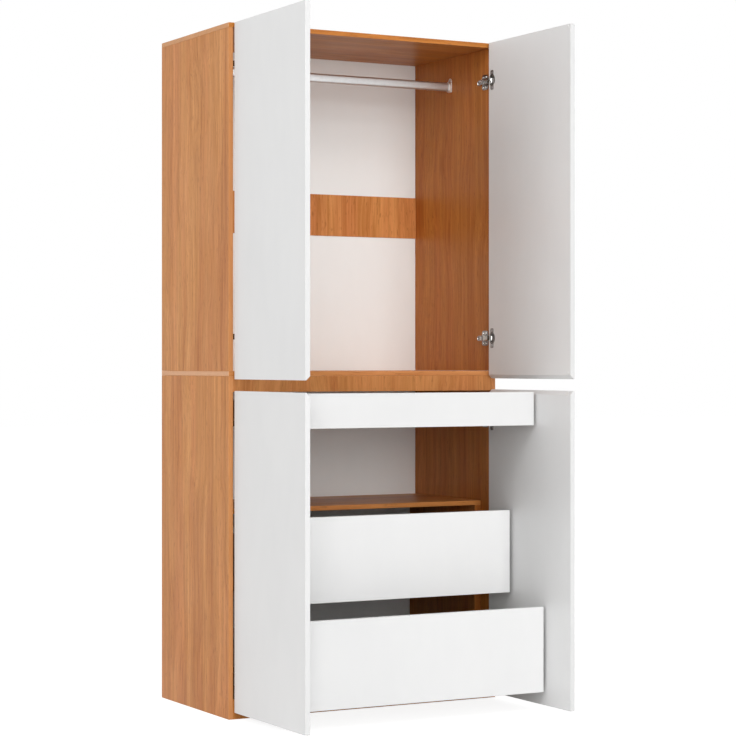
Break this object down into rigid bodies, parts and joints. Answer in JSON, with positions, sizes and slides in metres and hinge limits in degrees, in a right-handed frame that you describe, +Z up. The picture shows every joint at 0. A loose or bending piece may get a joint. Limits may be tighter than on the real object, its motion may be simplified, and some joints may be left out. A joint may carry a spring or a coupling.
{
  "type": "wardrobe",
  "caption": "Tall wardrobe with upper and lower pairs of swinging doors, an oval hanging rail, drawers on telescopic slides and a fixed shelf, shown with doors and drawers open.",
  "frame": {"origin": "on the floor, at the middle of the base strip's underside, just behind the carcass front", "axes": "+Z up, the front faces -Y, +X to the right of someone who stands before it"},
  "size_m": [0.975, 1.015, 2.168],
  "materials": {
    "red_brown_board": "satin foil with fine upright grain",
    "white_board": "satin white melamine",
    "back_board": "matt white lacquered hardboard",
    "drawer_board": "matt white foil",
    "rail_metal": "satin anodised",
    "hinge_metal": "bright nickel plate",
    "slide_metal": "zinc plate"
  },
  "bodies": {
    "carcass": {"top_panel": "red_brown_board", "middle_panel": "red_brown_board", "upper_left_side": "red_brown_board", "upper_right_side": "red_brown_board", "lower_left_side": "red_brown_board", "lower_right_side": "red_brown_board", "base_strip": "red_brown_board", "bottom_panel": "red_brown_board", "front_rail": "red_brown_board", "back_rail": "red_brown_board", "unit_shelf": "red_brown_board", "left_upright": "red_brown_board", "right_upright": "red_brown_board", "left_batten": "red_brown_board", "right_batten": "red_brown_board", "upper_back_panel": "back_board", "lower_back_panel": "back_board", "hanging_rail": "rail_metal", "left_rail_socket": "hinge_metal", "right_rail_socket": "hinge_metal", "upper_left_hinge_top": "hinge_metal", "upper_left_hinge_bottom": "hinge_metal", "upper_right_hinge_top": "hinge_metal", "upper_right_hinge_bottom": "hinge_metal", "lower_left_hinge_top": "hinge_metal", "lower_left_hinge_bottom": "hinge_metal", "lower_right_hinge_top": "hinge_metal", "lower_right_hinge_bottom": "hinge_metal", "top_left_track": "slide_metal", "top_right_track": "slide_metal", "middle_left_track": "slide_metal", "middle_right_track": "slide_metal", "bottom_left_track": "slide_metal", "bottom_right_track": "slide_metal"},
    "upper_left_door": {"upper_left_door": "white_board"},
    "upper_right_door": {"upper_right_door": "white_board"},
    "lower_left_door": {"lower_left_door": "white_board"},
    "lower_right_door": {"lower_right_door": "white_board"},
    "top_drawer": {"top_drawer_front": "white_board", "top_drawer_left_side": "drawer_board", "top_drawer_right_side": "drawer_board", "top_drawer_back": "drawer_board", "top_drawer_bottom": "drawer_board"},
    "middle_drawer": {"middle_drawer_front": "white_board", "middle_drawer_left_side": "drawer_board", "middle_drawer_right_side": "drawer_board", "middle_drawer_back": "drawer_board", "middle_drawer_bottom": "drawer_board"},
    "bottom_drawer": {"bottom_drawer_front": "white_board", "bottom_drawer_left_side": "drawer_board", "bottom_drawer_right_side": "drawer_board", "bottom_drawer_back": "drawer_board", "bottom_drawer_bottom": "drawer_board"},
    "top_runners": {"top_left_runner": "slide_metal", "top_right_runner": "slide_metal"},
    "middle_runners": {"middle_left_runner": "slide_metal", "middle_right_runner": "slide_metal"},
    "bottom_runners": {"bottom_left_runner": "slide_metal", "bottom_right_runner": "slide_metal"}
  },
  "joints": [
    {"name": "upper_left_door_hinge", "type": "hinge", "parent": "carcass", "child": "upper_left_door", "pos_m": [-0.473, -0.0277, 1.61275], "axis": [0, 0, -1], "range_deg": [-90, 5]},
    {"name": "upper_right_door_hinge", "type": "hinge", "parent": "carcass", "child": "upper_right_door", "pos_m": [0.473, -0.0277, 1.61275], "axis": [0, 0, 1], "range_deg": [-90, 5]},
    {"name": "lower_left_door_hinge", "type": "hinge", "parent": "carcass", "child": "lower_left_door", "pos_m": [-0.473, -0.0277, 0.522], "axis": [0, 0, -1], "range_deg": [-1.4, 5]},
    {"name": "lower_right_door_hinge", "type": "hinge", "parent": "carcass", "child": "lower_right_door", "pos_m": [0.473, -0.0277, 0.522], "axis": [0, 0, 1], "range_deg": [-1.4, 5]},
    {"name": "top_drawer_slide", "type": "slide", "parent": "carcass", "child": "top_drawer", "axis": [0, -1, 0], "range_m": [-0.363, 0.067]},
    {"name": "middle_drawer_slide", "type": "slide", "parent": "carcass", "child": "middle_drawer", "axis": [0, -1, 0], "range_m": [-0.22, 0.21]},
    {"name": "bottom_drawer_slide", "type": "slide", "parent": "carcass", "child": "bottom_drawer", "axis": [0, -1, 0], "range_m": [-0.42, 0.01]},
    {"name": "top_runner_slide", "type": "slide", "parent": "carcass", "child": "top_runners", "axis": [0, -1, 0], "range_m": [-0.182, 0.034]},
    {"name": "middle_runner_slide", "type": "slide", "parent": "carcass", "child": "middle_runners", "axis": [0, -1, 0], "range_m": [-0.1105, 0.1055]},
    {"name": "bottom_runner_slide", "type": "slide", "parent": "carcass", "child": "bottom_runners", "axis": [0, -1, 0], "range_m": [-0.2105, 0.0055]}
  ],
  "couplings": [
    {"joint": "top_runner_slide", "follows": "top_drawer_slide", "ratio": 0.5},
    {"joint": "middle_runner_slide", "follows": "middle_drawer_slide", "ratio": 0.5},
    {"joint": "bottom_runner_slide", "follows": "bottom_drawer_slide", "ratio": 0.5}
  ]
}
